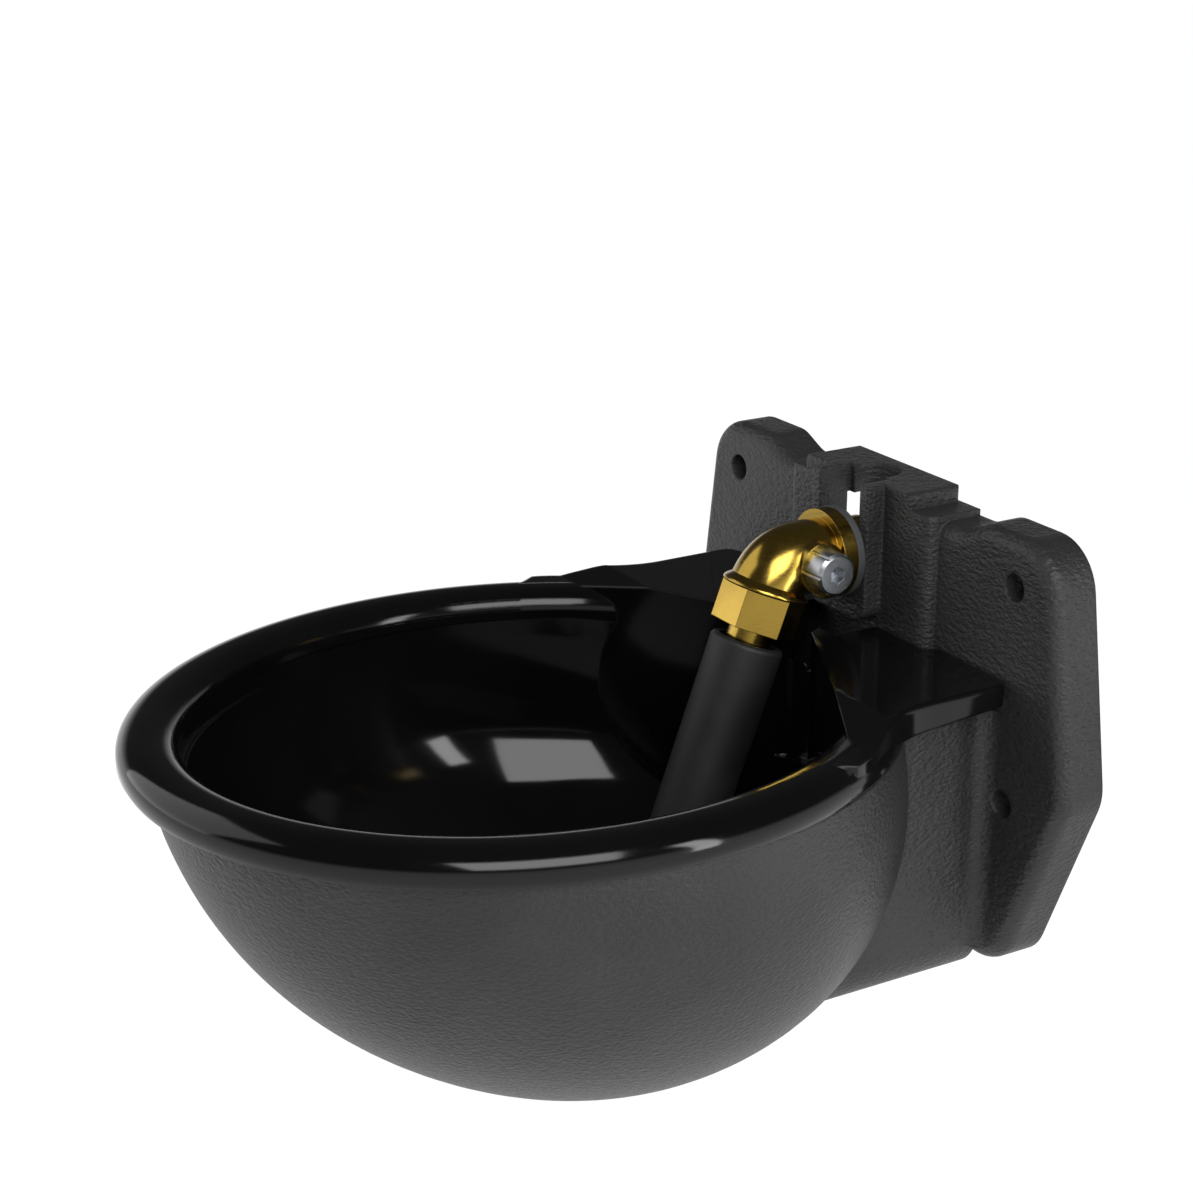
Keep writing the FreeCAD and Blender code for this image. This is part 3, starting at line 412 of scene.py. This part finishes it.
class BOWL_OT_bowl(bpy.types.Operator):
    """Gives the cast bowl its black enamel"""

    bl_idname = "bowl.enamel"
    bl_label = "Enamelled bowl"

    def execute(self, context):
        glaze = black_enamel(context.scene.bowl_finish)
        dress(["bowl"], glaze)
        rim = rolled_rim(context.scene.bowl_rim)
        rim.data.materials.append(glaze)
        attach(rim, "bowl")
        return {"FINISHED"}


class BOWL_OT_heater(bpy.types.Operator):
    """Finishes the element, its terminal head, ferrules, screws and thermostat"""

    bl_idname = "bowl.heater"
    bl_label = "Heating element"

    def execute(self, context):
        dress(["heater_element"], sheathed_element(context.scene.bowl_finish))
        dress(["terminal_head"],
              moulded_polymer("potted_nylon", ("#1C1C1E", "#252528"), (0.35, 0.5), 0.8, 0.02))
        dress(["thermostat"],
              moulded_polymer("phenolic_resin", ("#2A1D14", "#35261A"), (0.2, 0.35), 1.0, 0.01))
        dress(["fixing_bolt", "bolt_washer", "valve_spring"],
              turned_metal("zinc_plated_steel", ("#8C8F90", "#B4B6B2"), (0.25, 0.4), 0.5))
        dress(["heater_ferrules", "head_screws"],
              turned_metal("blackened_steel", ("#26272A", "#343538"), (0.3, 0.42), 0.5))
        return {"FINISHED"}


class BOWL_OT_valve(bpy.types.Operator):
    """Finishes the brass valve, its tube, seals and throttle screw"""

    bl_idname = "bowl.valve"
    bl_label = "Tube valve"

    def execute(self, context):
        brass = polished_brass(context.scene.bowl_finish)
        dress(["valve_elbow", "seat_nipple", "valve_spindle", "spindle_nut"], brass)
        bend = context.scene.bowl_bend
        for piece in (bend_lip(bend), hexagon_skin(bend)):
            piece.data.materials.append(brass)
            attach(piece, "valve")
        dress(["flow_tube"],
              moulded_polymer("matte_polyethylene_tube", ("#151515", "#1B1B1B"), (0.5, 0.62), 0.7, 0.03))
        dress(["valve_gasket"],
              moulded_polymer("fibre_gasket", ("#3B3C3D", "#474849"), (0.6, 0.75), 0.5, 0.03))
        dress(["seat_ring", "throttle_o_ring"],
              moulded_polymer("nitrile_rubber", ("#0D0D0D", "#141414"), (0.35, 0.5), 0.6, 0.01))
        dress(["throttle_screw"],
              turned_metal("turned_aluminium", ("#94979B", "#A9ACB0"), (0.3, 0.36), 0.9))
        return {"FINISHED"}


class BOWL_OT_gland(bpy.types.Operator):
    """Finishes the cable gland in the floor of the neck"""

    bl_idname = "bowl.gland"
    bl_label = "Cable gland"

    def execute(self, context):
        dress(["gland_body", "gland_locknut", "gland_cap"],
              moulded_polymer("glass_filled_polyamide", ("#2E2F31", "#393A3C"), (0.4, 0.55), 0.6, 0.02))
        dress(["gland_seal"], bpy.data.materials["nitrile_rubber"])
        return {"FINISHED"}


def area_lamp(name, place, watts, size, tall=None):
    """Square or oblong soft lamp that faces the object."""
    data = bpy.data.lights.new(name, "AREA")
    data.energy = watts
    data.size = size
    if tall:
        data.shape = "RECTANGLE"
        data.size_y = tall
    lamp = bpy.data.objects.new(name, data)
    bpy.context.scene.collection.objects.link(lamp)
    lamp.location = place
    lamp.rotation_euler = (Vector(LAMP_TARGET) - Vector(place)).to_track_quat("-Z", "Y").to_euler()


def white_seen(tree, shown, lit):
    """Shows one shader to the camera, mirrors and glass, and lights the object with another."""
    path = add_node(tree, "ShaderNodeLightPath")
    mirrored = add_node(tree, "ShaderNodeMath", {"operation": "MAXIMUM"},
                        links={0: path.outputs["Is Glossy Ray"], 1: path.outputs["Is Transmission Ray"]})
    seen = add_node(tree, "ShaderNodeMath", {"operation": "MAXIMUM"},
                    links={0: path.outputs["Is Camera Ray"], 1: mirrored})
    return add_node(tree, "ShaderNodeMixShader", links={0: seen, 1: lit, 2: shown})


def pale_floor(low, half):
    """Square floor at a height. It lights the object as a matte floor and glows white to the camera."""
    mesh = bpy.data.meshes.new("floor")
    mesh.from_pydata([(-half, -half, low), (half, -half, low), (half, half, low), (-half, half, low)],
                     [], [(0, 1, 2, 3)])
    floor = bpy.data.objects.new("floor", mesh)
    bpy.context.scene.collection.objects.link(floor)
    made, tree, _, output = new_material("pale_floor")
    matte = add_node(tree, "ShaderNodeBsdfDiffuse", inputs={"Color": FLOOR_TINT})
    glow = add_node(tree, "ShaderNodeEmission", inputs={"Strength": FLOOR_GLOW})
    mix = add_node(tree, "ShaderNodeMixShader", inputs={0: GLOW_SHARE}, links={1: matte, 2: glow})
    tree.links.new(white_seen(tree, mix, matte).outputs[0], output.inputs["Surface"])
    mesh.materials.append(made)


def white_surround():
    """Surround that is plain white to the camera. Reflections show it dark above and white below."""
    world = bpy.data.worlds.new("studio")
    bpy.context.scene.world = world
    world.use_nodes = True
    tree = world.node_tree
    tree.nodes.clear()
    output = add_node(tree, "ShaderNodeOutputWorld")
    facing = add_node(tree, "ShaderNodeTexCoord").outputs["Generated"]
    height = add_node(tree, "ShaderNodeSeparateXYZ", links={0: facing}).outputs["Z"]
    ceiling = add_node(tree, RANGE, inputs=between(1.0, 0.06, 0.02, 0.24), links={"Value": height})
    watched = add_node(tree, "ShaderNodeLightPath").outputs["Is Camera Ray"]
    glow = add_node(tree, "ShaderNodeMath", {"operation": "MAXIMUM"}, links={0: ceiling, 1: watched})
    shown = add_node(tree, "ShaderNodeBackground", inputs={"Color": WHITE}, links={"Strength": glow})
    lit = add_node(tree, "ShaderNodeBackground", inputs={"Color": WHITE, "Strength": 0.4})
    tree.links.new(white_seen(tree, shown, lit).outputs[0], output.inputs["Surface"])


def aim_camera(stage):
    """Camera that stands at the stage's eye and looks along its gaze."""
    data = bpy.data.cameras.new("camera")
    data.lens = stage.lens
    data.sensor_width = 36.0
    data.sensor_fit = "HORIZONTAL"
    camera = bpy.data.objects.new("camera", data)
    bpy.context.scene.collection.objects.link(camera)
    camera.location = stage.eye
    camera.rotation_euler = Vector(stage.gaze).to_track_quat("-Z", "Y").to_euler()
    bpy.context.scene.camera = camera


class BOWL_OT_stage(bpy.types.Operator):
    """Builds the pale floor, the white surround, the lamps and the camera"""

    bl_idname = "bowl.stage"
    bl_label = "Stage"

    def execute(self, context):
        stage = context.scene.bowl_stage
        pale_floor(cad_box[0][2] - stage.floor_drop, stage.floor_half)
        white_surround()
        area_lamp("key", (0.9, -0.35, 0.75), watts=stage.key_power, size=0.75)
        area_lamp("fill", (-0.7, -0.9, 0.5), watts=stage.fill_power, size=1.1)
        area_lamp("strip", (0.85, 0.25, 0.15), watts=stage.fill_power * STRIP_SHARE, size=0.12, tall=0.9)
        aim_camera(stage)
        context.scene.view_settings.view_transform = "Standard"
        return {"FINISHED"}


class BOWL_PT_panel(bpy.types.Panel):
    """Lists the pieces and the stage"""

    bl_idname = "BOWL_PT_panel"
    bl_label = "Drinking bowl"
    bl_space_type = "VIEW_3D"
    bl_region_type = "UI"
    bl_category = "Bowl"

    def draw(self, context):
        for operator in steps:
            self.layout.operator(operator.bl_idname)
        for key in groups:
            group = getattr(context.scene, key)
            for name in group.__annotations__:
                self.layout.prop(group, name)


steps = (BOWL_OT_housing, BOWL_OT_bowl, BOWL_OT_heater, BOWL_OT_valve, BOWL_OT_gland, BOWL_OT_stage)
groups = {
    "bowl_rim": RimSettings,
    "bowl_bend": BendSettings,
    "bowl_finish": FinishSettings,
    "bowl_stage": StageSettings,
}
classes = (*groups.values(), *steps, BOWL_PT_panel)


def register():
    """Makes the classes and the scene's settings known."""
    for item in classes:
        bpy.utils.register_class(item)
    for key, group in groups.items():
        setattr(bpy.types.Scene, key, bpy.props.PointerProperty(type=group))


def unregister():
    """Takes the settings and the classes out again."""
    for key in groups:
        delattr(bpy.types.Scene, key)
    for item in reversed(classes):
        bpy.utils.unregister_class(item)


def main():
    """Dresses the whole object."""
    register()
    bpy.ops.bowl.housing()
    bpy.ops.bowl.enamel()
    bpy.ops.bowl.heater()
    bpy.ops.bowl.valve()
    bpy.ops.bowl.gland()
    bpy.ops.bowl.stage()


if __name__ == "__main__":
    main()
